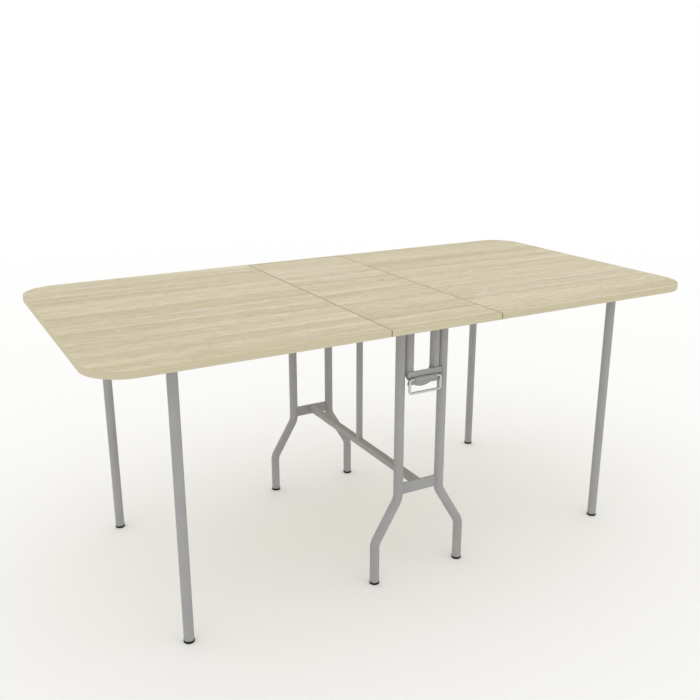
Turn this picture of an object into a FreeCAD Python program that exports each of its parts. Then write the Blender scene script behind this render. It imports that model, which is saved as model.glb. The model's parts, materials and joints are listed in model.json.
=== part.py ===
"""A drop-leaf folding table as a parametric document that writes one STEP file per piece.

Millimetres. The origin is on the floor under the middle of the table: X runs along the table, Y across
it, with the carrying handle at the -Y end, and Z is up. The left half is the right half turned about Z.
"""
import FreeCAD, Part
import math
import os
from types import SimpleNamespace

import Sketcher

DIMENSIONS = (
    # table top
    ("top_length", 1707), ("top_width", 869), ("top_height", 740), ("board_thick", 17),
    ("seam_reach", 162), ("seam_gap", 2.4), ("corner_radius", 100), ("band_thick", 1), ("band_round", 0.6),
    # tubes and bars of the middle frame
    ("tube_dia", 25.4), ("tube_wall", 1.2), ("frame_row", 320.4), ("upright_reach", 64.7),
    ("foot_reach", 135.2), ("knee_high", 235), ("knee_low", 118.5), ("knee_radius", 45),
    ("crossbar_base", 244), ("crossbar_tall", 32), ("crossbar_thick", 6), ("crossbar_round", 1),
    ("rail_size", 19.05), ("rail_wall", 1.2), ("rail_round", 1.5), ("rail_top", 274),
    ("post_dia", 19.05), ("flange_dia", 64), ("flange_thick", 3), ("flange_screw_ring", 24),
    ("bar_long", 230), ("bar_wide", 30), ("bar_thick", 4), ("bar_round", 8),
    ("bar_screw_x", 98), ("bar_screw_y", 7),
    # carrying handle
    ("loop_gap", 0.1), ("loop_low", 554.2),
    ("plate_wide", 102), ("plate_high", 589.1), ("plate_step", 574.9), ("notch_low", 563.8),
    ("plate_low", 552.4), ("plate_thick", 1.5), ("band_proud", 2), ("band_sheet", 1.2), ("plate_round", 3),
    ("barrel_long", 66), ("barrel_dia", 11.6), ("web_tall", 8), ("wire_dia", 7), ("wire_clear", 0.1),
    ("bail_forward", 339), ("bail_pivot", 568.5), ("bail_low", 531.6), ("bail_reach", 47.2),
    ("bail_hook", 24), ("bail_radius", 7),
    # leaf hinges
    ("hinge_long", 60), ("hinge_wide", 32), ("hinge_sheet", 1.8), ("hinge_drop", 4), ("knuckle_dia", 7.4),
    ("knuckle_clear", 0.15), ("knuckle_relief", 0.6), ("hinge_setback", 1), ("hinge_pin_dia", 4),
    ("pin_clear", 0.05), ("hinge_spread", 260), ("hinge_round", 3),
    ("hinge_screw_far", 23), ("hinge_screw_near", 14), ("hinge_screw_y", 20),
    # outer legs and their folding brackets
    ("leg_reach", 654.3), ("leg_skew", 3.5), ("pivot_drop", 20), ("leg_over", 9.5), ("plug_lip", 1.5),
    ("plug_deep", 5), ("plug_clear", 0.05), ("plug_bevel", 1),
    ("bracket_sheet", 2.5), ("bracket_gap", 26.2), ("bracket_long", 76), ("cheek_radius", 16),
    ("bracket_round", 5), ("bend_round", 2), ("bolt_dia", 6), ("bolt_clear", 0.05), ("hex_flats", 10),
    ("head_tall", 4), ("nut_tall", 5), ("bolt_end", 1.5),
    ("stop_radius", 9.5), ("stop_dia", 5), ("stop_clear", 0.3), ("stop_long", 34), ("press_clear", 0.02),
    ("bracket_screw_x", 8), ("bracket_screw_y", 29),
    # foot glides
    ("glide_dia", 27), ("glide_tall", 4.2), ("glide_bevel", 1), ("glide_lip_dia", 26.4),
    ("glide_lip", 2.2), ("lip_clear", 0.05), ("spigot_tall", 12), ("spigot_bevel", 1),
    # countersunk wood screws
    ("screw_dia", 3.5), ("screw_head_dia", 6.8), ("screw_long", 14), ("screw_point", 2.5),
    ("screw_hole_dia", 3.8), ("sink_dia", 7), ("pilot_clear", 0.04), ("pilot_deep", 12.6),
    ("recess_long", 3.4), ("recess_wide", 0.9), ("recess_deep", 1.1),
)

HINGE_ROWS = (-1, 0, 1)          # hinges along a seam, in steps of hinge_spread
KNUCKLES = 5                     # knuckles of a hinge, counted over both of its plates
FLANGE_SCREWS = 3
PARTS_FOLDER = "parts"
NEAR, FAR = -1, 1                # signs of the two rows of legs along Y
BOTH_ENDS, LAST_END, NO_END = (1, 2), (2,), ()    # ends of a sketched line that are pinned
TOLERANCE = 1e-3


class Size:
    """A number together with the spreadsheet expression that gives it."""

    def __init__(self, value, text):
        self.value = float(value)
        self.text = text

    def __add__(self, other):
        other = as_size(other)
        return Size(self.value + other.value, "(%s + %s)" % (self.text, other.text))

    def __sub__(self, other):
        other = as_size(other)
        return Size(self.value - other.value, "(%s - %s)" % (self.text, other.text))

    def __mul__(self, other):
        other = as_size(other)
        return Size(self.value * other.value, "(%s * %s)" % (self.text, other.text))

    def __truediv__(self, other):
        other = as_size(other)
        return Size(self.value / other.value, "(%s / %s)" % (self.text, other.text))

    def __radd__(self, other):
        return as_size(other) + self

    def __rsub__(self, other):
        return as_size(other) - self

    def __rmul__(self, other):
        return as_size(other) * self

    def __neg__(self):
        return Size(-self.value, "(-%s)" % self.text)


def as_size(number):
    if isinstance(number, Size):
        return number
    return Size(number, "(%s)" % float(number))


def cosine(degrees):
    return Size(math.cos(math.radians(degrees.value)), "cos(%s * 1 deg)" % degrees.text)


def sine(degrees):
    return Size(math.sin(math.radians(degrees.value)), "sin(%s * 1 deg)" % degrees.text)


def turned(x, y, degrees):
    """The point x, y turned about the origin."""
    c, s = cosine(degrees), sine(degrees)
    return x * c - y * s, x * s + y * c


# Document and spreadsheet

os.makedirs(PARTS_FOLDER, exist_ok=True)
doc = FreeCAD.newDocument("drop_leaf_table")
sheet = doc.addObject("Spreadsheet::Sheet", "Sheet")
for row, (alias, number) in enumerate(DIMENSIONS, start=1):
    sheet.set("A%d" % row, alias)
    sheet.set("B%d" % row, str(number))
    sheet.setAlias("B%d" % row, alias)
doc.recompute()
d = SimpleNamespace(**{alias: Size(number, "Sheet." + alias) for alias, number in DIMENSIONS})

underside = d.top_height - d.board_thick
pivot_height = underside - d.pivot_drop
tube_radius = d.tube_dia / 2
bore_radius = tube_radius - d.tube_wall
hinge_height = underside - d.hinge_drop
frame_top = underside - d.bar_thick
loop_reach = d.upright_reach - d.tube_dia - d.loop_gap

NODES = {}


def keep(label, piece):
    """Names a finished piece and lists it for export."""
    piece.Label = label
    NODES[label] = piece
    return piece


# Sketches and features

def bind(thing, prop, length):
    """Ties a property to the spreadsheet."""
    thing.setExpression(prop, as_size(length).text)


def new_body(name):
    return doc.addObject("PartDesign::Body", name)


def sketch_on(body, role, offset=0):
    """An empty sketch on an origin plane of the body, moved along the plane's normal."""
    count = len([item for item in body.Group if item.isDerivedFrom("Sketcher::SketchObject")])
    sketch = body.newObject("Sketcher::SketchObject", "%s_sketch_%d" % (body.Name, count + 1))
    plane = [feature for feature in body.Origin.OriginFeatures if feature.Role == role][0]
    sketch.AttachmentSupport = [(plane, "")]
    sketch.MapMode = "FlatFace"
    shift = FreeCAD.Vector(0, 0, as_size(offset).value)
    sketch.AttachmentOffset = FreeCAD.Placement(shift, FreeCAD.Rotation())
    bind(sketch, "AttachmentOffset.Base.z", offset)
    return sketch


def flat(point):
    return FreeCAD.Vector(as_size(point[0]).value, as_size(point[1]).value, 0)


def dimension(sketch, length, *terms):
    """Adds one driving dimension to a sketch."""
    length = as_size(length)
    index = sketch.addConstraint(Sketcher.Constraint(*terms, length.value))
    sketch.setExpression("Constraints[%d]" % index, length.text)


def pin(sketch, element, end, point):
    """Holds one end of a sketch element at a point."""
    dimension(sketch, point[0], "DistanceX", -1, 1, element, end)
    dimension(sketch, point[1], "DistanceY", -1, 1, element, end)


def polygon(sketch, points):
    first = sketch.GeometryCount
    count = len(points)
    for i in range(count):
        sketch.addGeometry(Part.LineSegment(flat(points[i]), flat(points[(i + 1) % count])))
    for i in range(count):
        sketch.addConstraint(Sketcher.Constraint("Coincident", first + i, 2, first + (i + 1) % count, 1))
    for i in range(count):
        pin(sketch, first + i, 1, points[i])


def rectangle(sketch, low, high):
    polygon(sketch, [low, (high[0], low[1]), high, (low[0], high[1])])


def circle(sketch, centre, radius):
    radius = as_size(radius)
    element = sketch.addGeometry(Part.Circle(flat(centre), FreeCAD.Vector(0, 0, 1), radius.value))
    pin(sketch, element, 3, centre)
    dimension(sketch, radius, "Radius", element)


def bent_line(sketch, runs, radius):
    """A centre line of straight runs joined by tangent bends. Each run is start, end and its pinned ends."""
    elements = []
    for start, end, pinned in runs:
        element = sketch.addGeometry(Part.LineSegment(flat(start), flat(end)))
        elements.append(element)
        for number, point in enumerate((start, end), start=1):
            if number in pinned:
                pin(sketch, element, number, point)
    for i in range(len(runs) - 1):
        join_with_bend(sketch, elements[i], elements[i + 1], runs[i], runs[i + 1], radius)


def join_with_bend(sketch, before, after, run_before, run_after, radius):
    leave, arrive = flat(run_before[1]), flat(run_after[0])
    ahead = (leave - flat(run_before[0])).normalize()
    left = FreeCAD.Vector(-ahead.y, ahead.x, 0)
    turns_left = left.dot(arrive - leave) > 0
    centre = leave + left * (radius.value if turns_left else -radius.value)
    first, last = (leave, arrive) if turns_left else (arrive, leave)
    angles = [math.atan2(p.y - centre.y, p.x - centre.x) for p in (first, last)]
    bend = Part.ArcOfCircle(Part.Circle(centre, FreeCAD.Vector(0, 0, 1), radius.value), *angles)
    element = sketch.addGeometry(bend)
    enter, leave_end = (1, 2) if turns_left else (2, 1)
    sketch.addConstraint(Sketcher.Constraint("Tangent", before, 2, element, enter))
    sketch.addConstraint(Sketcher.Constraint("Tangent", element, leave_end, after, 1))
    dimension(sketch, radius, "Radius", element)


def feature_of(sketch, kind):
    body = sketch.getParentGeoFeatureGroup()
    feature = body.newObject("PartDesign::" + kind, sketch.Name + "_" + kind.lower())
    feature.Profile = sketch
    return body, feature


def pad(sketch, length, symmetric=False):
    body, feature = feature_of(sketch, "Pad")
    bind(feature, "Length", length)
    if symmetric:
        feature.SideType = "Symmetric"
    doc.recompute()
    return body


def pocket(sketch, depth=None):
    """Cuts a sketch out of its body, right through both ways when no depth is given."""
    body, feature = feature_of(sketch, "Pocket")
    before = feature.BaseFeature.Shape.Volume
    if depth is None:
        feature.Type = "ThroughAll"
        feature.SideType = "Symmetric"
    else:
        bind(feature, "Length", depth)
    doc.recompute()
    if body.Shape.Volume > before - TOLERANCE:
        feature.Reversed = True
        doc.recompute()
    if body.Shape.Volume > before - TOLERANCE:
        raise RuntimeError("%s cuts nothing" % feature.Name)
    return body


def pipe(profile, path):
    body, feature = feature_of(profile, "AdditivePipe")
    feature.Spine = path
    doc.recompute()
    return body


def revolve(sketch):
    body, feature = feature_of(sketch, "Revolution")
    feature.ReferenceAxis = (sketch, ["V_Axis"])
    feature.Angle = 360
    doc.recompute()
    return body


def dress(body, kind, prop, length, wanted):
    """Fillets or chamfers the edges of the body that the test picks out."""
    base = body.Tip
    names = ["Edge%d" % i for i, edge in enumerate(base.Shape.Edges, start=1) if wanted(edge)]
    if not names:
        raise RuntimeError("no edges to dress on %s" % body.Name)
    feature = body.newObject("PartDesign::" + kind, "%s_%s_%d" % (body.Name, kind.lower(), len(body.Group)))
    feature.Base = (base, names)
    bind(feature, prop, length)
    doc.recompute()
    return body


def fillet(body, radius, wanted):
    return dress(body, "Fillet", "Radius", radius, wanted)


def chamfer(body, width, wanted):
    return dress(body, "Chamfer", "Size", width, wanted)


def near_to(number, length):
    return abs(number - as_size(length).value) < TOLERANCE


def middle(edge):
    return edge.valueAt((edge.FirstParameter + edge.LastParameter) / 2)


def is_line(edge, axis):
    """Whether an edge is straight and runs along x, y or z."""
    if not isinstance(edge.Curve, Part.Line):
        return False
    return abs(abs(getattr(edge.Curve.Direction, axis)) - 1) < TOLERANCE


def is_circle(edge, radius):
    return isinstance(edge.Curve, Part.Circle) and near_to(edge.Curve.Radius, radius)


def place(piece, x=0, y=0, z=0, turn=0):
    """Moves a piece, its sizes tied to the spreadsheet, and turns it about Z by a number of degrees."""
    base = FreeCAD.Vector(*[as_size(value).value for value in (x, y, z)])
    angle = as_size(turn)
    piece.Placement = FreeCAD.Placement(base, FreeCAD.Rotation(FreeCAD.Vector(0, 0, 1), angle.value))
    for axis, value in (("x", x), ("y", y), ("z", z)):
        bind(piece, "Placement.Base." + axis, value)
    if isinstance(turn, Size):
        bind(piece, "Placement.Rotation.Angle", turn)
    return piece


def copy_at(source, spot):
    """A linked copy at a spot of x, y, z and a turn about Z."""
    link = doc.addObject("App::Link", source.Name + "_copy")
    link.LinkedObject = source
    link.LinkTransform = True
    place(link, *spot)
    return link


def group_at(source, spots):
    """Linked copies of one piece that belong to one node."""
    group = doc.addObject("Part::Compound", source.Name + "_group")
    group.Links = [copy_at(source, spot) for spot in spots]
    doc.recompute()
    return group


def other_half(label, source):
    """The same piece on the left half of the table."""
    return keep(label, copy_at(source, (0, 0, 0, 180)))


# Pieces that are used many times

def make_wood_screw():
    """A countersunk screw with a cross recess, its head's face at z = 0 and its point up."""
    head, shank = d.screw_head_dia / 2, d.screw_dia / 2
    body = new_body("wood_screw")
    outline = sketch_on(body, "XZ_Plane")
    polygon(outline, [
        (0, 0), (head, 0), (shank, head - shank), (shank, d.screw_long - d.screw_point), (0, d.screw_long),
    ])
    revolve(outline)
    for across, along in ((d.recess_long, d.recess_wide), (d.recess_wide, d.recess_long)):
        slot = sketch_on(body, "XY_Plane")
        rectangle(slot, (-across / 2, -along / 2), (across / 2, along / 2))
        pocket(slot, d.recess_deep)
    return body


def sink_holes(body, spots, face_height):
    """Clearance holes for wood screws, countersunk on the face at that height."""
    radius = d.screw_hole_dia / 2
    holes = sketch_on(body, "XY_Plane", face_height)
    for spot in spots:
        circle(holes, spot, radius)
    pocket(holes)
    chamfer(body, (d.sink_dia - d.screw_hole_dia) / 2,
            lambda edge: is_circle(edge, radius) and near_to(middle(edge).z, face_height))


def pilot_holes(body, spots):
    """Blind screw holes in the underside of a board."""
    holes = sketch_on(body, "XY_Plane", underside)
    for spot in spots:
        circle(holes, spot, d.screw_dia / 2 + d.pilot_clear)
    pocket(holes, d.pilot_deep)


def make_glide():
    """A moulded foot glide, its sole at z = 0, with a lip round the tube and a spigot inside it."""
    sole, lip = d.glide_dia / 2, d.glide_lip_dia / 2
    lip_inside, spigot = tube_radius + d.lip_clear, bore_radius - d.lip_clear
    lip_top, spigot_top = d.glide_tall + d.glide_lip, d.glide_tall + d.spigot_tall
    body = new_body("foot_glide")
    outline = sketch_on(body, "XZ_Plane")
    polygon(outline, [
        (0, 0), (sole - d.glide_bevel, 0), (sole, d.glide_bevel), (sole, d.glide_tall), (lip, d.glide_tall),
        (lip, lip_top), (lip_inside, lip_top), (lip_inside, d.glide_tall), (spigot, d.glide_tall),
        (spigot, spigot_top - d.spigot_bevel), (spigot - d.spigot_bevel, spigot_top), (0, spigot_top),
    ])
    return revolve(outline)


# Table top

def hinge_screw_spots(side):
    """Screw places of one hinge plate, from the hinge's own middle. Side is -1 or 1 along X."""
    return [
        (side * d.hinge_screw_far, -d.hinge_screw_y),
        (side * d.hinge_screw_near, as_size(0)),
        (side * d.hinge_screw_far, d.hinge_screw_y),
    ]


def hinge_rows():
    return [row * d.hinge_spread for row in HINGE_ROWS]


def seam_screw_spots(side):
    """Screw places along the right-hand seam, on one side of it."""
    return [(d.seam_reach + x, row + y) for row in hinge_rows() for x, y in hinge_screw_spots(side)]


def bar_screw_spots():
    return [(sx * d.bar_screw_x, sy * d.bar_screw_y) for sx in (-1, 1) for sy in (-1, 1)]


def flange_screw_spots():
    ring = []
    for i in range(FLANGE_SCREWS):
        angle = as_size(90 + i * 360 / FLANGE_SCREWS)
        ring.append(turned(d.flange_screw_ring, as_size(0), angle))
    return ring


def station_turn(row):
    """How far the leg bracket in a row is turned about Z, so that the two legs fold side by side."""
    return d.leg_skew if row == NEAR else d.leg_skew + 180


def bracket_screw_spots():
    return [(sx * d.bracket_screw_x, sy * d.bracket_screw_y) for sx in (-1, 1) for sy in (-1, 1)]


def leaf_screw_spots():
    spots = seam_screw_spots(1)
    for row in (NEAR, FAR):
        for x, y in bracket_screw_spots():
            dx, dy = turned(x, y, station_turn(row))
            spots.append((d.leg_reach + dx, row * d.frame_row + dy))
    return spots


def board(name, x_low, x_high, corner, spots):
    """One panel of the top, without its edge band."""
    inset = d.band_thick
    body = new_body(name)
    outline = sketch_on(body, "XY_Plane", underside)
    rectangle(outline, (x_low + inset, inset - d.top_width / 2), (x_high - inset, d.top_width / 2 - inset))
    pad(outline, d.board_thick)
    if corner:
        fillet(body, corner - inset,
               lambda edge: is_line(edge, "z") and near_to(middle(edge).x, x_high - inset))
    pilot_holes(body, spots)
    return body


def edge_band(name, x_low, x_high, corner):
    """The band glued round a panel, with eased edges."""
    inset = d.band_thick
    half = d.top_width / 2
    body = new_body(name)
    outline = sketch_on(body, "XY_Plane", underside)
    rectangle(outline, (x_low, -half), (x_high, half))
    rectangle(outline, (x_low + inset, inset - half), (x_high - inset, half - inset))
    pad(outline, d.board_thick)
    if corner:
        fillet(body, corner, lambda edge: is_line(edge, "z") and near_to(middle(edge).x, x_high))
        fillet(body, corner - inset,
               lambda edge: is_line(edge, "z") and near_to(middle(edge).x, x_high - inset))

    def outside(edge):
        point = middle(edge)
        if not (near_to(point.z, underside) or near_to(point.z, d.top_height)):
            return False
        on_end = near_to(point.x, x_low) or near_to(point.x, x_high)
        on_corner = bool(corner) and is_circle(edge, corner)
        return on_end or near_to(abs(point.y), half) or on_corner

    fillet(body, d.band_round, outside)
    return body


def make_top():
    inner, outer = d.seam_reach - d.seam_gap / 2, d.top_length / 2
    start = d.seam_reach + d.seam_gap / 2
    centre_spots = seam_screw_spots(-1) + [(-x, -y) for x, y in seam_screw_spots(-1)]
    for row in (NEAR, FAR):
        centre_spots += [(x, row * d.frame_row + y) for x, y in bar_screw_spots()]
    centre_spots += flange_screw_spots()
    keep("centre_panel", board("centre_panel", -inner, inner, None, centre_spots))
    keep("centre_panel_edge_band", edge_band("centre_panel_edge_band", -inner, inner, None))
    leaf = keep("right_leaf", board("right_leaf", start, outer, d.corner_radius, leaf_screw_spots()))
    band = keep("right_leaf_edge_band", edge_band("right_leaf_edge_band", start, outer, d.corner_radius))
    other_half("left_leaf", leaf)
    other_half("left_leaf_edge_band", band)


# Middle frame

def ring(sketch, centre, outer, inner):
    circle(sketch, centre, outer)
    circle(sketch, centre, inner)


def make_upright():
    """One bent tube: straight down, out at the upper knee and down again at the lower one."""
    sideways, fall = d.foot_reach - d.upright_reach, d.knee_high - d.knee_low
    half_turn = math.atan2(sideways.value, fall.value) / 2
    setback = Size(d.knee_radius.value * math.tan(half_turn),
                   "(%s * tan(atan2(%s; %s) / 2))" % (d.knee_radius.text, sideways.text, fall.text))
    share = setback / Size(math.hypot(sideways.value, fall.value),
                           "hypot(%s; %s)" % (sideways.text, fall.text))
    slope_start = (d.upright_reach + sideways * share, d.knee_high - fall * share)
    slope_end = (d.foot_reach - sideways * share, d.knee_low + fall * share)
    body = new_body("upright")
    path = sketch_on(body, "XZ_Plane")
    bent_line(path, [
        ((d.upright_reach, frame_top), (d.upright_reach, d.knee_high + setback), BOTH_ENDS),
        (slope_start, slope_end, NO_END),
        ((d.foot_reach, d.knee_low - setback), (d.foot_reach, d.glide_tall), BOTH_ENDS),
    ], d.knee_radius)
    profile = sketch_on(body, "XY_Plane", frame_top)
    ring(profile, (d.upright_reach, 0), tube_radius, bore_radius)
    return pipe(profile, path)


def make_crossbar():
    reach = d.upright_reach - tube_radius
    body = new_body("crossbar")
    face = sketch_on(body, "XZ_Plane")
    rectangle(face, (-reach, d.crossbar_base), (reach, d.crossbar_base + d.crossbar_tall))
    pad(face, d.crossbar_thick, symmetric=True)
    return fillet(body, d.crossbar_round, lambda edge: is_line(edge, "x"))


def make_rail():
    half, bore = d.rail_size / 2, d.rail_size / 2 - d.rail_wall
    centre = d.rail_top - half
    body = new_body("stretcher_rail")
    section = sketch_on(body, "XZ_Plane")
    rectangle(section, (-half, centre - half), (half, centre + half))
    rectangle(section, (-bore, centre - bore), (bore, centre + bore))
    pad(section, 2 * d.frame_row - d.crossbar_thick, symmetric=True)
    return fillet(body, d.rail_round,
                  lambda edge: is_line(edge, "y") and near_to(abs(middle(edge).x), half))


def make_post():
    body = new_body("centre_post")
    section = sketch_on(body, "XY_Plane", d.rail_top)
    ring(section, (0, 0), d.post_dia / 2, d.post_dia / 2 - d.tube_wall)
    return pad(section, underside - d.flange_thick - d.rail_top)


def make_flange():
    body = new_body("centre_post_flange")
    outline = sketch_on(body, "XY_Plane", underside - d.flange_thick)
    circle(outline, (0, 0), d.flange_dia / 2)
    pad(outline, d.flange_thick)
    sink_holes(body, flange_screw_spots(), underside - d.flange_thick)
    return body


def make_top_bar():
    body = new_body("top_bar")
    outline = sketch_on(body, "XY_Plane", frame_top)
    rectangle(outline, (-d.bar_long / 2, -d.bar_wide / 2), (d.bar_long / 2, d.bar_wide / 2))
    pad(outline, d.bar_thick)
    fillet(body, d.bar_round, lambda edge: is_line(edge, "z"))
    sink_holes(body, bar_screw_spots(), frame_top)
    return body


def make_frame(screw, glide):
    upright, crossbar, bar = make_upright(), make_crossbar(), make_top_bar()
    glide_spots, screw_spots = [], []
    for row, row_name in ((NEAR, "near"), (FAR, "far")):
        y = row * d.frame_row
        keep(row_name + "_right_upright", copy_at(upright, (0, y, 0, 0)))
        keep(row_name + "_left_upright", copy_at(upright, (0, y, 0, 180)))
        keep(row_name + "_crossbar", copy_at(crossbar, (0, y, 0, 0)))
        keep(row_name + "_top_bar", copy_at(bar, (0, y, 0, 0)))
        glide_spots += [(side * d.foot_reach, y, 0, 0) for side in (-1, 1)]
        screw_spots += [(x, y + dy, frame_top, 0) for x, dy in bar_screw_spots()]
    keep("stretcher_rail", make_rail())
    keep("centre_post", make_post())
    keep("centre_post_flange", make_flange())
    screw_spots += [(x, y, underside - d.flange_thick, 0) for x, y in flange_screw_spots()]
    keep("frame_screws", group_at(screw, screw_spots))
    keep("frame_glides", group_at(glide, glide_spots))


# Carrying handle

def make_loop():
    """The U of tube that hangs between the near uprights and carries the handle."""
    spring = d.loop_low + loop_reach
    body = new_body("handle_loop")
    path = sketch_on(body, "XZ_Plane", d.frame_row)
    bent_line(path, [
        ((-loop_reach, frame_top), (-loop_reach, spring), BOTH_ENDS),
        ((loop_reach, spring), (loop_reach, frame_top), LAST_END),
    ], loop_reach)
    profile = sketch_on(body, "XY_Plane", frame_top)
    ring(profile, (-loop_reach, -d.frame_row), tube_radius, bore_radius)
    return pipe(profile, path)


def make_handle_plate():
    """A stamped plate: a raised band, a bored barrel for the bail's hooks between two notches, and a skirt."""
    back = d.frame_row + tube_radius + d.loop_gap
    front = back + d.plate_thick
    wide, neck = d.plate_wide / 2, d.barrel_long / 2
    axis = (-d.bail_forward, d.bail_pivot)
    body = new_body("handle_plate")
    outline = sketch_on(body, "XZ_Plane", back)
    polygon(outline, [
        (-wide, d.plate_high), (-wide, d.plate_step), (-neck, d.plate_step), (-neck, d.notch_low),
        (-wide, d.notch_low), (-wide, d.plate_low), (wide, d.plate_low), (wide, d.notch_low),
        (neck, d.notch_low), (neck, d.plate_step), (wide, d.plate_step), (wide, d.plate_high),
    ])
    pad(outline, d.plate_thick)
    raised = sketch_on(body, "XZ_Plane", front)
    rectangle(raised, (-wide, d.plate_step), (wide, d.plate_high))
    pad(raised, d.band_proud)
    fillet(body, d.plate_round, lambda edge: is_line(edge, "y") and near_to(abs(middle(edge).x), wide))
    face = front + d.band_proud
    fillet(body, d.band_proud / 2, lambda edge: near_to(middle(edge).y, -face))
    hollow = sketch_on(body, "XZ_Plane", back)
    inset = d.plate_round / 2
    rectangle(hollow, (inset - wide, d.plate_step + inset), (wide - inset, d.plate_high - inset))
    pocket(hollow, d.plate_thick + d.band_proud - d.band_sheet)
    web = sketch_on(body, "YZ_Plane")
    rectangle(web, (axis[0], axis[1] - d.web_tall / 2), (-back, axis[1] + d.web_tall / 2))
    pad(web, d.barrel_long, symmetric=True)
    barrel = sketch_on(body, "YZ_Plane")
    circle(barrel, axis, d.barrel_dia / 2)
    pad(barrel, d.barrel_long, symmetric=True)
    bore = sketch_on(body, "YZ_Plane")
    circle(bore, axis, d.wire_dia / 2 + d.wire_clear)
    return pocket(bore)


def make_bail():
    """The wire bail, hanging from its two hooks."""
    reach, turn = d.bail_reach, d.bail_radius
    body = new_body("bail")
    path = sketch_on(body, "XZ_Plane", d.bail_forward)
    bent_line(path, [
        ((-d.bail_hook, d.bail_pivot), (turn - reach, d.bail_pivot), BOTH_ENDS),
        ((-reach, d.bail_pivot - turn), (-reach, d.bail_low + turn), NO_END),
        ((turn - reach, d.bail_low), (reach - turn, d.bail_low), BOTH_ENDS),
        ((reach, d.bail_low + turn), (reach, d.bail_pivot - turn), NO_END),
        ((reach - turn, d.bail_pivot), (d.bail_hook, d.bail_pivot), BOTH_ENDS),
    ], turn)
    profile = sketch_on(body, "YZ_Plane", -d.bail_hook)
    circle(profile, (-d.bail_forward, d.bail_pivot), d.wire_dia / 2)
    return pipe(profile, path)


# Leaf hinges

def make_hinge_plate(name, side, own):
    """One plate of a butt hinge about its pin's middle. Own tells which knuckles it keeps, 0 or 1."""
    half, step = d.hinge_long / 2, d.hinge_long / KNUCKLES
    sheet_low = d.hinge_drop - d.hinge_sheet
    inner, outer = side * d.hinge_setback, side * d.hinge_wide
    low, high = (outer, inner) if side < 0 else (inner, outer)
    body = new_body(name)
    outline = sketch_on(body, "XY_Plane", sheet_low)
    rectangle(outline, (low, -half), (high, half))
    pad(outline, d.hinge_sheet)
    fillet(body, d.hinge_round, lambda edge: is_line(edge, "z") and near_to(middle(edge).x, outer))
    barrel = sketch_on(body, "XZ_Plane")
    circle(barrel, (0, 0), d.knuckle_dia / 2)
    pad(barrel, d.hinge_long, symmetric=True)
    relief = d.knuckle_dia / 2 + d.knuckle_relief
    gaps = sketch_on(body, "XY_Plane")
    for i in range(KNUCKLES):
        if i % 2 != own:
            start = i * step - half - d.knuckle_clear
            rectangle(gaps, (-relief, start), (relief, start + step + 2 * d.knuckle_clear))
    pocket(gaps)
    bore = sketch_on(body, "XZ_Plane")
    circle(bore, (0, 0), d.hinge_pin_dia / 2 + d.pin_clear)
    pocket(bore)
    sink_holes(body, hinge_screw_spots(side), sheet_low)
    return body


def make_hinge_pin():
    body = new_body("hinge_pin")
    section = sketch_on(body, "XZ_Plane")
    circle(section, (0, 0), d.hinge_pin_dia / 2)
    return pad(section, d.hinge_long, symmetric=True)


def make_hinges(screw):
    spots = [(d.seam_reach, row, hinge_height, 0) for row in hinge_rows()]
    sources = (
        ("hinge_fixed_plates", make_hinge_plate("hinge_fixed_plate", -1, 0)),
        ("hinge_moving_plates", make_hinge_plate("hinge_moving_plate", 1, 1)),
        ("hinge_pins", make_hinge_pin()),
    )
    for name, source in sources:
        other_half("left_" + name, keep("right_" + name, group_at(source, spots)))
    head_height = underside - d.hinge_sheet
    for name, side in (("hinge_fixed_screws", -1), ("hinge_moving_screws", 1)):
        screw_spots = [(x, y, head_height, 0) for x, y in seam_screw_spots(side)]
        other_half("left_" + name, keep("right_" + name, group_at(screw, screw_spots)))


# Outer legs and folding brackets. Each is drawn about its pivot, whose pin lies along X.

def make_bracket():
    """A bent sheet clevis whose cheeks have a pivot hole and a quarter-circle slot for the stop pin."""
    inside = d.bracket_gap / 2
    outside = inside + d.bracket_sheet
    base_low = d.pivot_drop - d.bracket_sheet
    body = new_body("leg_bracket")
    base = sketch_on(body, "XY_Plane", base_low)
    rectangle(base, (-outside, -d.bracket_long / 2), (outside, d.bracket_long / 2))
    pad(base, d.bracket_sheet)
    fillet(body, d.bracket_round, lambda edge: is_line(edge, "z"))
    radius = d.cheek_radius
    for start in (inside, -outside):
        cheek = sketch_on(body, "YZ_Plane", start)
        rectangle(cheek, (-radius, 0), (radius, d.pivot_drop - d.bracket_sheet / 2))
        pad(cheek, d.bracket_sheet)
        end = sketch_on(body, "YZ_Plane", start)
        circle(end, (0, 0), radius)
        pad(end, d.bracket_sheet)
    fillet(body, d.bend_round,
           lambda edge: is_line(edge, "y") and near_to(middle(edge).z, base_low)
           and near_to(abs(middle(edge).x), inside))
    pivot = sketch_on(body, "YZ_Plane")
    circle(pivot, (0, 0), d.bolt_dia / 2 + d.bolt_clear)
    pocket(pivot)
    slot = sketch_on(body, "YZ_Plane")
    quarter_slot(slot, d.stop_radius, d.stop_dia / 2 + d.stop_clear)
    pocket(slot)
    sink_holes(body, bracket_screw_spots(), base_low)
    return body


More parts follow.
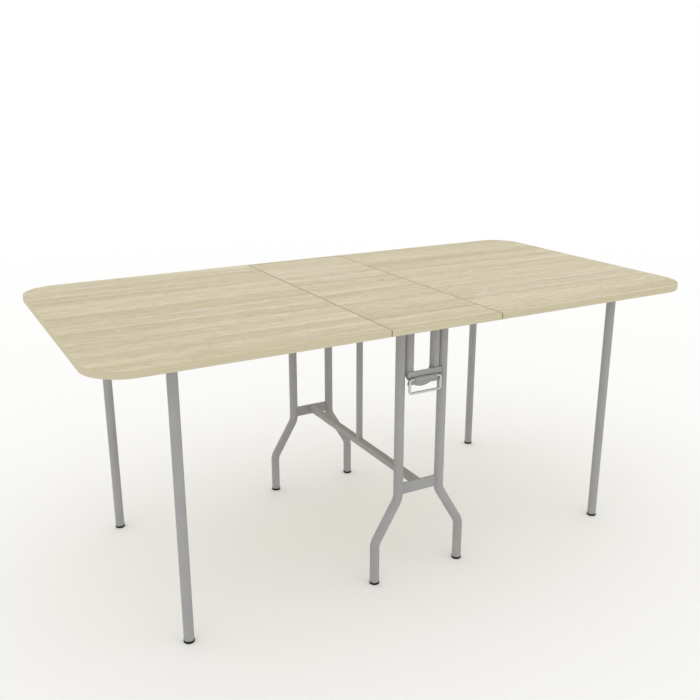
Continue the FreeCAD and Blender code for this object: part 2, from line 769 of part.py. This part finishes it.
def quarter_slot(sketch, radius, half_wide):
    """A round-ended slot on a quarter circle about the origin, from straight down to straight across."""
    up = FreeCAD.Vector(0, 0, 1)
    down, across = -math.pi / 2, 0
    arcs = (
        ((0, 0), radius + half_wide, down, across),
        ((0, 0), radius - half_wide, down, across),
        ((radius, 0), half_wide, across, across + math.pi),
        ((0, -radius), half_wide, down - math.pi, down),
    )
    outer, inner, end_cap, start_cap = range(len(arcs))
    level_axis, plumb_axis = -1, -2
    for centre, size, start, end in arcs:
        sketch.addGeometry(Part.ArcOfCircle(Part.Circle(flat(centre), up, size.value), start, end))
    for element in (outer, inner):
        pin(sketch, element, 3, (0, 0))
        dimension(sketch, arcs[element][1], "Radius", element)
    for element, end in ((outer, 2), (inner, 2), (end_cap, 3)):
        sketch.addConstraint(Sketcher.Constraint("PointOnObject", element, end, level_axis))
    for element, end in ((outer, 1), (inner, 1), (start_cap, 3)):
        sketch.addConstraint(Sketcher.Constraint("PointOnObject", element, end, plumb_axis))
    sketch.addConstraint(Sketcher.Constraint("Coincident", outer, 2, end_cap, 1))
    sketch.addConstraint(Sketcher.Constraint("Coincident", end_cap, 2, inner, 2))
    sketch.addConstraint(Sketcher.Constraint("Coincident", inner, 1, start_cap, 1))
    sketch.addConstraint(Sketcher.Constraint("Coincident", start_cap, 2, outer, 1))


def hexagon(sketch):
    """A hexagon across flats about the sketch's origin."""
    corner = d.hex_flats / math.sqrt(3)
    polygon(sketch, [turned(corner, as_size(0), as_size(60 * i)) for i in range(6)])


def make_pivot_bolt():
    outside = d.bracket_gap / 2 + d.bracket_sheet
    body = new_body("pivot_bolt")
    head = sketch_on(body, "YZ_Plane", -outside - d.head_tall)
    hexagon(head)
    pad(head, d.head_tall)
    shank = sketch_on(body, "YZ_Plane", -outside)
    circle(shank, (0, 0), d.bolt_dia / 2)
    return pad(shank, 2 * outside + d.nut_tall + d.bolt_end)


def make_lock_nut():
    body = new_body("lock_nut")
    outline = sketch_on(body, "YZ_Plane", d.bracket_gap / 2 + d.bracket_sheet)
    hexagon(outline)
    circle(outline, (0, 0), d.bolt_dia / 2 + d.press_clear)
    return pad(outline, d.nut_tall)


def make_leg():
    low = d.glide_tall - pivot_height
    body = new_body("leg_tube")
    section = sketch_on(body, "XY_Plane", low)
    ring(section, (0, 0), tube_radius, bore_radius)
    pad(section, d.leg_over - low)
    cross_holes = sketch_on(body, "YZ_Plane")
    circle(cross_holes, (0, 0), d.bolt_dia / 2 + d.bolt_clear)
    circle(cross_holes, (0, -d.stop_radius), d.stop_dia / 2 + d.press_clear)
    return pocket(cross_holes)


def make_plug():
    spigot, top = bore_radius - d.plug_clear, d.leg_over + d.plug_lip
    body = new_body("leg_plug")
    outline = sketch_on(body, "XZ_Plane")
    polygon(outline, [
        (0, d.leg_over - d.plug_deep), (spigot, d.leg_over - d.plug_deep), (spigot, d.leg_over),
        (tube_radius, d.leg_over), (tube_radius - d.plug_bevel, top), (0, top),
    ])
    return revolve(outline)


def make_stop_pin():
    body = new_body("stop_pin")
    section = sketch_on(body, "YZ_Plane")
    circle(section, (0, -d.stop_radius), d.stop_dia / 2)
    return pad(section, d.stop_long, symmetric=True)


def make_legs(screw, glide):
    bracket, bolt, nut = make_bracket(), make_pivot_bolt(), make_lock_nut()
    screws = group_at(screw, [(x, y, d.pivot_drop - d.bracket_sheet, 0) for x, y in bracket_screw_spots()])
    leg_pieces = (("leg", make_leg()), ("leg_plug", make_plug()), ("stop_pin", make_stop_pin()))
    stations = {}
    for row in (NEAR, FAR):
        stations[row] = (d.leg_reach, row * d.frame_row, pivot_height, station_turn(row))
    for row, row_name, other in ((NEAR, "near", "far"), (FAR, "far", "near")):
        spot = stations[row]
        right = keep(row_name + "_right_leg_bracket", copy_at(bracket, spot))
        other_half(other + "_left_leg_bracket", right)
        for name, source in leg_pieces:
            right = keep("%s_right_%s" % (row_name, name), copy_at(source, spot))
            other_half("%s_left_%s" % (other, name), right)
        foot = keep(row_name + "_right_leg_glide", copy_at(glide, (d.leg_reach, row * d.frame_row, 0, 0)))
        other_half(other + "_left_leg_glide", foot)
    for name, source in (("pivot_bolts", bolt), ("lock_nuts", nut), ("bracket_screws", screws)):
        right = keep("right_" + name, group_at(source, stations.values()))
        other_half("left_" + name, right)


# Building and writing

def write_parts():
    doc.recompute()
    for thing in doc.Objects:
        if any(state in ("Invalid", "Error") for state in thing.State):
            raise RuntimeError("%s did not build: %s" % (thing.Name, thing.State))
    for label, piece in sorted(NODES.items()):
        shape = Part.getShape(piece)
        if shape.isNull() or not shape.isValid() or not shape.Solids:
            raise RuntimeError("%s has no sound solid" % label)
        shape.exportStep(os.path.join(PARTS_FOLDER, label + ".step"))
    print("%d pieces written" % len(NODES))


wood_screw = make_wood_screw()
foot_glide = make_glide()
make_top()
make_frame(wood_screw, foot_glide)
keep("handle_loop", make_loop())
keep("handle_plate", make_handle_plate())
keep("bail", make_bail())
make_hinges(wood_screw)
make_legs(wood_screw, foot_glide)
write_parts()
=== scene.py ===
import json
import math

import bmesh
import bpy
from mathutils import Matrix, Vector


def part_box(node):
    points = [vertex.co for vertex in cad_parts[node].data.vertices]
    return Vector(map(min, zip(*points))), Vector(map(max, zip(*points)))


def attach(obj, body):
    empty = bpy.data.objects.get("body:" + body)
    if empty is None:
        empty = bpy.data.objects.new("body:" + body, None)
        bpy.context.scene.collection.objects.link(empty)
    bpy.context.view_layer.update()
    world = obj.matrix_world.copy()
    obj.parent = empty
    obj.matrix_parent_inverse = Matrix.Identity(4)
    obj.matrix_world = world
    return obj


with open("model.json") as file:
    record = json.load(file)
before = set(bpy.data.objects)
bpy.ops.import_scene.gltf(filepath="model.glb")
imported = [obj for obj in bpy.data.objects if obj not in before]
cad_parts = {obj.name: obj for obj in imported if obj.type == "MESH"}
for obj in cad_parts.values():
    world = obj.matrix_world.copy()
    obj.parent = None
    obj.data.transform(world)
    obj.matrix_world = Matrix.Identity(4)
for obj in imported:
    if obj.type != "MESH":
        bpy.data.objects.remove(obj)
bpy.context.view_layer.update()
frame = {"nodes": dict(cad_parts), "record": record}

WHITE = (1, 1, 1, 1)

# Camera of the photograph, in metres, degrees and millimetres
CAMERA_PLACE = (-1.1636, -2.0333, 1.2754)
CAMERA_YAW = 29.097
CAMERA_PITCH = 17.202
CAMERA_LENS = 43.529
SENSOR_WIDTH = 36

# Studio: a white dome, and a pale floor that fades to white with the distance from the table
DOME_STRENGTH = 1.0
FLOOR_RADIUS = 9.0
FLOOR_SIDES = 96
FLOOR_COLOUR = (0.915, 0.912, 0.9, 1)
FLOOR_GLOW = 0.07
FADE_START = 1.6
FADE_END = 6.0

# Grain of the decor: noise cells per metre along and across it, then the noise's detail and roughness
GRAIN_LAYERS = {
    "broad": (0.5, 20, 2, 0.5),
    "streak": (1.3, 62, 2, 0.6),
    "fleck": (20, 60, 1, 0.5),
    "fibre": (14, 420, 2, 0.6),
    "tint": (0.7, 24, 3, 0.7),
    "pore": (36, 330, 3, 0.75),
}
TONE_SHARES = {"broad": 0.36, "streak": 0.38, "fleck": 0.16, "fibre": 0.10}
PORE_EDGE = (0.54, 0.66)
PORE_DEPTH = 0.22
DRIFT_CELLS = (0.9, 3.0, 3.0)
DRIFT_REACH = 0.003
PANEL_SHIFT = 3.7

# Colours, as linear red, green and blue at places of a ramp
WOOD_STOPS = (
    (0.322, (0.475, 0.407, 0.233)),
    (0.482, (0.608, 0.534, 0.359)),
    (0.642, (0.741, 0.661, 0.485)),
)
PAINT_STOPS = ((0.30, (0.356, 0.354, 0.351)), (0.70, (0.402, 0.400, 0.397)))
PLASTIC_STOPS = ((0.35, (0.004, 0.004, 0.004)), (0.75, (0.014, 0.0135, 0.013)))
WIRE_STOPS = ((0.3, (0.52, 0.52, 0.53)), (0.7, (0.64, 0.64, 0.64)))
ZINC_STOPS = ((0.2, (0.44, 0.45, 0.46)), (0.8, (0.62, 0.62, 0.61)))

# Factors on the wood's colours: the shade of each piece, and the olive and the grey that the tint leans to
BOARD_SHADE = (1.0, 1.0, 1.0)
BAND_SHADE = (1.016, 1.038, 1.094)
WOOD_LEANS = ((0.998, 1.006, 0.960), (1.002, 0.994, 1.040))
TINT_SPREAD = (-2.5, 3.5)

# Edge bands: a softer and finer grain, and painted shade on the faces at a seam, standing in for the gap's
# shadow, which starts at the first distance from the seam's middle and is full at the second
BAND_CONTRAST = (0.289, 0.689)
BAND_FINER = 5.0
SEAM_SHADE_REACH = (0.0021, 0.0013)
SEAM_SHADE_DEPTH = 0.16

# Metals: share of the orange peel in the paint's tone, cells per metre of the wire's drawing marks along
# X, Y and Z, and share of the haze in the zinc's tone
PEEL_SHARE = 0.2
WIRE_CELLS = (300, 900, 900)
HAZE_SHARE = 0.5

# Weld beads, in metres: a ripple's length, the share that it adds to the radius, the share left at a bead's
# ends, and a direction that no bead runs along
WELD_RADIUS = 0.0014
WELD_RIPPLE = 0.0028
WELD_SWELL = 0.16
WELD_TAPER = 0.3
WELD_SINK = 0.0004
CROSSBAR_INSET = 0.001
CROSSBAR_STEPS = 40
RAIL_INSET = 0.0015
RAIL_STEPS = 24
RING_STEPS = 72
BEAD_SIDES = 8
BEAD_GUIDE = Vector((0.3, 0.5, 0.8))


# Places of the frame that the grain and the welds follow

X, Y, Z = range(3)


def lowest(node, axis):
    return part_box(node)[0][axis]


def highest(node, axis):
    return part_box(node)[1][axis]


def middle(node, axis):
    return (lowest(node, axis) + highest(node, axis)) / 2


def half(node, axis):
    """Half of a node's size along an axis."""
    return (highest(node, axis) - lowest(node, axis)) / 2


SEAM_REACH = (highest("centre_panel_edge_band", X) + lowest("right_leaf_edge_band", X)) / 2
TUBE_RADIUS = 0.0127
UPRIGHT_REACH = lowest("near_right_upright", X) + TUBE_RADIUS
LOOP_REACH = highest("handle_loop", X) - TUBE_RADIUS
BAR_LOW = lowest("near_top_bar", Z)
FRAME_ROW = middle("far_crossbar", Y)
CROSSBAR_HALF = half("far_crossbar", Y)
CROSSBAR_LOW = lowest("far_crossbar", Z)
CROSSBAR_HIGH = highest("far_crossbar", Z)
RAIL_HALF = half("stretcher_rail", X)
RAIL_LOW = lowest("stretcher_rail", Z)
RAIL_TOP = highest("stretcher_rail", Z)
POST_RADIUS = half("centre_post", X)
FLANGE_LOW = lowest("centre_post_flange", Z)


# Material building

class Tree:
    """Adds nodes to one material and links what it is given."""

    def __init__(self, name):
        self.material = bpy.data.materials.new(name)
        self.material.use_nodes = True
        self.tree = self.material.node_tree
        self.shader = self.tree.nodes["Principled BSDF"]

    def put(self, socket, value):
        """Links another socket to this one, or sets it to a plain value."""
        if isinstance(value, bpy.types.NodeSocket):
            self.tree.links.new(value, socket)
        else:
            socket.default_value = value

    def put_named(self, sockets, values):
        """Fills sockets by name, where an underscore stands for a space."""
        for name, value in values.items():
            self.put(sockets[name.replace("_", " ")], value)

    def put_in_turn(self, sockets, *values):
        for socket, value in zip(sockets, values):
            self.put(socket, value)

    def add(self, kind, settings=None, **inputs):
        node = self.tree.nodes.new(kind)
        for name, value in (settings or {}).items():
            setattr(node, name, value)
        self.put_named(node.inputs, inputs)
        return node

    def finish(self, **inputs):
        """Fills sockets of the material's shader."""
        self.put_named(self.shader.inputs, inputs)
        return self.material

    def coords(self):
        return self.add("ShaderNodeTexCoord").outputs["Object"]

    def math(self, operation, first, second=0.0, kind="ShaderNodeMath"):
        node = self.add(kind, {"operation": operation})
        self.put_in_turn(node.inputs, first, second)
        return node.outputs[0]

    def vector_math(self, operation, first, second):
        return self.math(operation, first, second, "ShaderNodeVectorMath")

    def total(self, *shares):
        """Adds up values, each times its weight."""
        terms = [self.math("MULTIPLY", value, weight) for value, weight in shares]
        added = terms[0]
        for term in terms[1:]:
            added = self.math("ADD", added, term)
        return added

    def spread(self, value, low, high):
        """Maps 0 to 1 onto a range."""
        return self.add("ShaderNodeMapRange", Value=value, To_Min=low, To_Max=high).outputs[0]

    def between(self, value, start, end):
        """0 at the start and 1 at the end, and no further."""
        return self.add("ShaderNodeMapRange", Value=value, From_Min=start, From_Max=end).outputs[0]

    def noise(self, vector, detail, scale=1.0, rough=0.5):
        node = self.add("ShaderNodeTexNoise", Vector=vector, Scale=scale, Detail=detail, Roughness=rough)
        return node.outputs["Fac"]

    def ramp(self, value, stops):
        """Colour that runs through the stops, each a place and a colour."""
        node = self.tree.nodes.new("ShaderNodeValToRGB")
        elements = node.color_ramp.elements
        while len(elements) < len(stops):
            elements.new(position=0.5)
        for element, (place, colour) in zip(elements, stops):
            element.position = place
            element.color = (*colour, 1)
        self.put(node.inputs[0], value)
        return node.outputs[0]

    def mixed(self, factor, first, second):
        """Mixes two colours."""
        node = self.add("ShaderNodeMix", {"data_type": "RGBA"})
        sockets = {socket.identifier: socket for socket in [*node.inputs, *node.outputs]}
        self.put(sockets["Factor_Float"], factor)
        self.put(sockets["A_Color"], first)
        self.put(sockets["B_Color"], second)
        return sockets["Result_Color"]

    def mixed_shaders(self, factor, first, second):
        node = self.add("ShaderNodeMixShader")
        self.put_in_turn(node.inputs, factor, first, second)
        return node.outputs[0]

    def added_shaders(self, first, second):
        node = self.add("ShaderNodeAddShader")
        self.put_in_turn(node.inputs, first, second)
        return node.outputs[0]

    def bump(self, height, distance, strength):
        node = self.add("ShaderNodeBump", Height=height, Distance=distance, Strength=strength)
        self.put(self.shader.inputs["Normal"], node.outputs[0])


def panel_number(tree, parts):
    """-1, 0 or 1 for the left leaf, the centre panel and the right leaf."""
    right = tree.math("GREATER_THAN", parts["X"], SEAM_REACH)
    left = tree.math("LESS_THAN", parts["X"], -SEAM_REACH)
    return tree.math("SUBTRACT", right, left)


def grain(tree, vector, finer=1.0):
    """Streaky grain along X of the vector: its tone about 0.5, its tint, and the fibre that bump uses."""
    drift = tree.noise(tree.vector_math("MULTIPLY", vector, DRIFT_CELLS), detail=1)
    sideways = tree.add("ShaderNodeCombineXYZ", Y=tree.spread(drift, -DRIFT_REACH, DRIFT_REACH))
    placed = tree.vector_math("ADD", vector, sideways.outputs[0])
    layers = {}
    for name, (along, across, detail, rough) in GRAIN_LAYERS.items():
        cells = (along, across * finer, across * finer)
        layers[name] = tree.noise(tree.vector_math("MULTIPLY", placed, cells), detail=detail, rough=rough)
    shares = [(layers[name], share) for name, share in TONE_SHARES.items()]
    pore = tree.between(layers["pore"], *PORE_EDGE)
    tone = tree.total(*shares, (pore, -PORE_DEPTH))
    return tone, layers["tint"], layers["fibre"]


def wood_colour(tree, tone, tint, shade):
    """Colour of the decor from the grain's tone, leaning to olive or to grey with its tint."""
    leaning = []
    for lean in WOOD_LEANS:
        stops = []
        for place, colour in WOOD_STOPS:
            stops.append((place, [math.prod(factors) for factors in zip(colour, lean, shade)]))
        leaning.append(tree.ramp(tone, stops))
    return tree.mixed(tree.spread(tint, *TINT_SPREAD), *leaning)


def wood_board():
    """Decor whose grain runs along the table and differs from panel to panel."""
    tree = Tree("wood_grain_board")
    parts = tree.add("ShaderNodeSeparateXYZ", Vector=tree.coords()).outputs
    height = tree.total((parts["Z"], 1.0), (panel_number(tree, parts), PANEL_SHIFT))
    place = tree.add("ShaderNodeCombineXYZ", X=parts["X"], Y=parts["Y"], Z=height).outputs[0]
    tone, tint, fibre = grain(tree, place)
    colour = wood_colour(tree, tone, tint, BOARD_SHADE)
    roughness = tree.spread(fibre, low=0.42, high=0.56)
    tree.bump(fibre, distance=0.00012, strength=0.35)
    return tree.finish(Base_Color=colour, Roughness=roughness, Specular_IOR_Level=0.3)


def edge_band():
    """Grain that runs along the band, round the corners too, with painted shade on the faces at a seam."""
    tree = Tree("edge_band")
    parts = tree.add("ShaderNodeSeparateXYZ", Vector=tree.coords()).outputs
    run = tree.math("ADD", parts["X"], parts["Y"])
    panel = tree.math("MULTIPLY", panel_number(tree, parts), PANEL_SHIFT)
    line = tree.add("ShaderNodeCombineXYZ", X=run, Y=panel, Z=parts["Z"]).outputs[0]
    tone, tint, fibre = grain(tree, line, BAND_FINER)
    # Painted shade: the band's faces at a seam are darkened, standing in for the shadow in the gap between
    # panels
    aside = tree.math("SUBTRACT", tree.math("ABSOLUTE", parts["X"]), SEAM_REACH)
    seam_shade = tree.between(tree.math("ABSOLUTE", aside), *SEAM_SHADE_REACH)
    tone = tree.total((tree.spread(tone, *BAND_CONTRAST), 1.0), (seam_shade, -SEAM_SHADE_DEPTH))
    colour = wood_colour(tree, tone, tree.spread(tint, *BAND_CONTRAST), BAND_SHADE)
    roughness = tree.spread(fibre, low=0.46, high=0.58)
    tree.bump(fibre, distance=0.00008, strength=0.25)
    return tree.finish(Base_Color=colour, Roughness=roughness, Specular_IOR_Level=0.05)


def grey_paint():
    """Satin powder coat: fine orange peel and a faint unevenness of tone."""
    tree = Tree("grey_paint")
    place = tree.coords()
    cloud = tree.noise(place, scale=9, detail=3)
    peel = tree.noise(place, scale=900, detail=2, rough=0.6)
    colour = tree.ramp(tree.total((cloud, 1 - PEEL_SHARE), (peel, PEEL_SHARE)), PAINT_STOPS)
    roughness = tree.spread(peel, low=0.46, high=0.60)
    tree.bump(peel, distance=0.00006, strength=0.3)
    return tree.finish(Base_Color=colour, Roughness=roughness, Specular_IOR_Level=0.1)


def black_plastic():
    """Moulded plastic with a fine texture and paler scuffs."""
    tree = Tree("black_plastic")
    place = tree.coords()
    fleck = tree.noise(place, scale=1400, detail=2)
    scuff = tree.noise(place, scale=60, detail=4, rough=0.65)
    colour = tree.ramp(scuff, PLASTIC_STOPS)
    roughness = tree.spread(fleck, low=0.5, high=0.7)
    tree.bump(fleck, distance=0.00005, strength=0.4)
    return tree.finish(Base_Color=colour, Roughness=roughness, Specular_IOR_Level=0.25)


def bright_wire():
    """Polished wire with fine drawing marks."""
    tree = Tree("bright_wire")
    drawn = tree.noise(tree.vector_math("MULTIPLY", tree.coords(), WIRE_CELLS), detail=3)
    colour = tree.ramp(drawn, WIRE_STOPS)
    roughness = tree.spread(drawn, low=0.04, high=0.10)
    tree.bump(drawn, distance=0.00003, strength=0.25)
    return tree.finish(Base_Color=colour, Metallic=1.0, Roughness=roughness)


def zinc_steel():
    """Zinc plate with its crystal patches."""
    tree = Tree("zinc_plated_steel")
    place = tree.coords()
    patch = tree.add("ShaderNodeTexVoronoi", Vector=place, Scale=420).outputs["Color"]
    tone = tree.add("ShaderNodeSeparateColor", Color=patch).outputs[0]
    haze = tree.noise(place, scale=160, detail=3)
    colour = tree.ramp(tree.total((tone, 1 - HAZE_SHARE), (haze, HAZE_SHARE)), ZINC_STOPS)
    roughness = tree.spread(haze, low=0.28, high=0.46)
    return tree.finish(Base_Color=colour, Metallic=1.0, Roughness=roughness)


MATERIALS = {
    "wood_grain_board": wood_board(),
    "edge_band": edge_band(),
    "grey_paint": grey_paint(),
    "black_plastic": black_plastic(),
    "bright_wire": bright_wire(),
    "zinc_plated_steel": zinc_steel(),
}
for entry in frame["record"]["subparts"]:
    node = frame["nodes"][entry["node"]]
    for material_slot in node.material_slots:
        material_slot.material = MATERIALS[entry["material_slot"]]


# Weld beads of the middle frame

def new_object(name, shape, material):
    """An object made from a bmesh, which is used up."""
    mesh = bpy.data.meshes.new(name)
    shape.to_mesh(mesh)
    shape.free()
    mesh.materials.append(material)
    made = bpy.data.objects.new(name, mesh)
    bpy.context.scene.collection.objects.link(made)
    return made


def bead_ring(beads, centre, along, radius):
    """Points round a bead, square to the way it runs."""
    side = along.cross(BEAD_GUIDE).normalized()
    up = side.cross(along)
    ring = []
    for k in range(BEAD_SIDES):
        angle = math.tau * k / BEAD_SIDES
        offset = side * math.cos(angle) + up * math.sin(angle)
        ring.append(beads.verts.new(centre + offset * radius))
    return ring


def add_bead(beads, points, closed):
    """A rippled bead along a line of points: a closed one, or one that is thin at both ends."""
    last = len(points) - 1
    rings = []
    travelled = 0.0
    for i, point in enumerate(points):
        behind = points[i - 1] if closed or i > 0 else point
        ahead = points[(i + 1) % len(points)] if closed or i < last else point
        swell = 1 + WELD_SWELL * math.sin(math.tau * travelled / WELD_RIPPLE)
        thickness = swell if closed or 0 < i < last else WELD_TAPER
        rings.append(bead_ring(beads, point, (ahead - behind).normalized(), WELD_RADIUS * thickness))
        if i < last:
            travelled += (points[i + 1] - point).length
    following = rings[1:] + rings[:1] if closed else rings[1:]
    for first, second in zip(rings, following):
        for k in range(BEAD_SIDES):
            after = (k + 1) % BEAD_SIDES
            beads.faces.new((first[k], first[after], second[after], second[k]))
    if not closed:
        beads.faces.new(rings[0][::-1])
        beads.faces.new(rings[-1])


def add_upright_bead(beads, x, y, low, high, steps):
    start = Vector((x, y, low))
    end = Vector((x, y, high))
    add_bead(beads, [start.lerp(end, i / steps) for i in range(steps + 1)], closed=False)


def add_ring_bead(beads, centre, tube_radius):
    """A bead round the end of an upright tube, sunk a little into the tube."""
    radius = tube_radius - WELD_SINK
    turns = [math.tau * i / RING_STEPS for i in range(RING_STEPS)]
    points = [Vector(centre) + Vector((math.cos(turn), math.sin(turn), 0)) * radius for turn in turns]
    add_bead(beads, points, closed=True)


def weld_beads():
    """Beads where the tubes, bars, rail and post of the middle frame meet."""
    beads = bmesh.new()
    bar_low = CROSSBAR_LOW + CROSSBAR_INSET
    bar_high = CROSSBAR_HIGH - CROSSBAR_INSET
    rail_low = RAIL_LOW + RAIL_INSET
    rail_high = RAIL_TOP - RAIL_INSET
    touch = UPRIGHT_REACH - math.sqrt(TUBE_RADIUS ** 2 - CROSSBAR_HALF ** 2)
    for row in (-FRAME_ROW, FRAME_ROW):
        for x in (-touch, touch):
            for y in (row - CROSSBAR_HALF, row + CROSSBAR_HALF):
                add_upright_bead(beads, x, y, bar_low, bar_high, CROSSBAR_STEPS)
        inner_face = row - math.copysign(CROSSBAR_HALF, row)
        for x in (-RAIL_HALF, RAIL_HALF):
            add_upright_bead(beads, x, inner_face, rail_low, rail_high, RAIL_STEPS)
        for x in (-UPRIGHT_REACH, UPRIGHT_REACH):
            add_ring_bead(beads, (x, row, BAR_LOW), TUBE_RADIUS)
    for x in (-LOOP_REACH, LOOP_REACH):
        add_ring_bead(beads, (x, -FRAME_ROW, BAR_LOW), TUBE_RADIUS)
    for z in (RAIL_TOP, FLANGE_LOW):
        add_ring_bead(beads, (0, 0, z), POST_RADIUS)
    piece = new_object("weld_beads", beads, MATERIALS["grey_paint"])
    piece.data.shade_smooth()
    return piece


welds = weld_beads()
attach(welds, "middle_frame")


# Floor, dome and camera

def floor_material():
    """Pale floor that keeps shadows, fades to white far out, and is clear from below."""
    tree = Tree("floor")
    tree.finish(Base_Color=FLOOR_COLOUR, Roughness=0.9, Specular_IOR_Level=0.1)
    path = tree.add("ShaderNodeLightPath").outputs
    seen = tree.math("MAXIMUM", path["Is Camera Ray"], path["Is Glossy Ray"])
    seen = tree.math("MAXIMUM", seen, path["Is Transmission Ray"])
    glow = tree.add("ShaderNodeEmission", Color=WHITE, Strength=tree.math("MULTIPLY", seen, FLOOR_GLOW))
    pale = tree.added_shaders(tree.shader.outputs[0], glow.outputs[0])
    white = tree.add("ShaderNodeEmission", Color=WHITE, Strength=DOME_STRENGTH)
    reach = tree.add("ShaderNodeVectorMath", {"operation": "LENGTH"})
    tree.put(reach.inputs[0], tree.coords())
    fade = tree.add("ShaderNodeMapRange", {"interpolation_type": "SMOOTHSTEP"},
                    Value=reach.outputs["Value"], From_Min=FADE_START, From_Max=FADE_END)
    above = tree.mixed_shaders(fade.outputs[0], pale, white.outputs[0])
    from_below = tree.add("ShaderNodeNewGeometry").outputs["Backfacing"]
    clear = tree.add("ShaderNodeBsdfTransparent").outputs[0]
    surface = tree.mixed_shaders(from_below, above, clear)
    tree.put(tree.tree.nodes["Material Output"].inputs["Surface"], surface)
    return tree.material


def make_floor():
    disc = bmesh.new()
    bmesh.ops.create_circle(disc, cap_ends=True, radius=FLOOR_RADIUS, segments=FLOOR_SIDES)
    floor = new_object("floor", disc, floor_material())


def make_dome():
    world = bpy.data.worlds.new("dome")
    world.use_nodes = True
    background = world.node_tree.nodes["Background"]
    background.inputs["Color"].default_value = WHITE
    background.inputs["Strength"].default_value = DOME_STRENGTH
    bpy.context.scene.world = world


def make_camera():
    data = bpy.data.cameras.new("camera")
    data.sensor_width = SENSOR_WIDTH
    data.lens = CAMERA_LENS
    camera = bpy.data.objects.new("camera", data)
    bpy.context.scene.collection.objects.link(camera)
    camera.location = CAMERA_PLACE
    camera.rotation_euler = (math.radians(90 - CAMERA_PITCH), 0, math.radians(-CAMERA_YAW))
    bpy.context.scene.camera = camera


make_floor()
make_dome()
make_camera()
bpy.context.scene.view_settings.view_transform = "Standard"
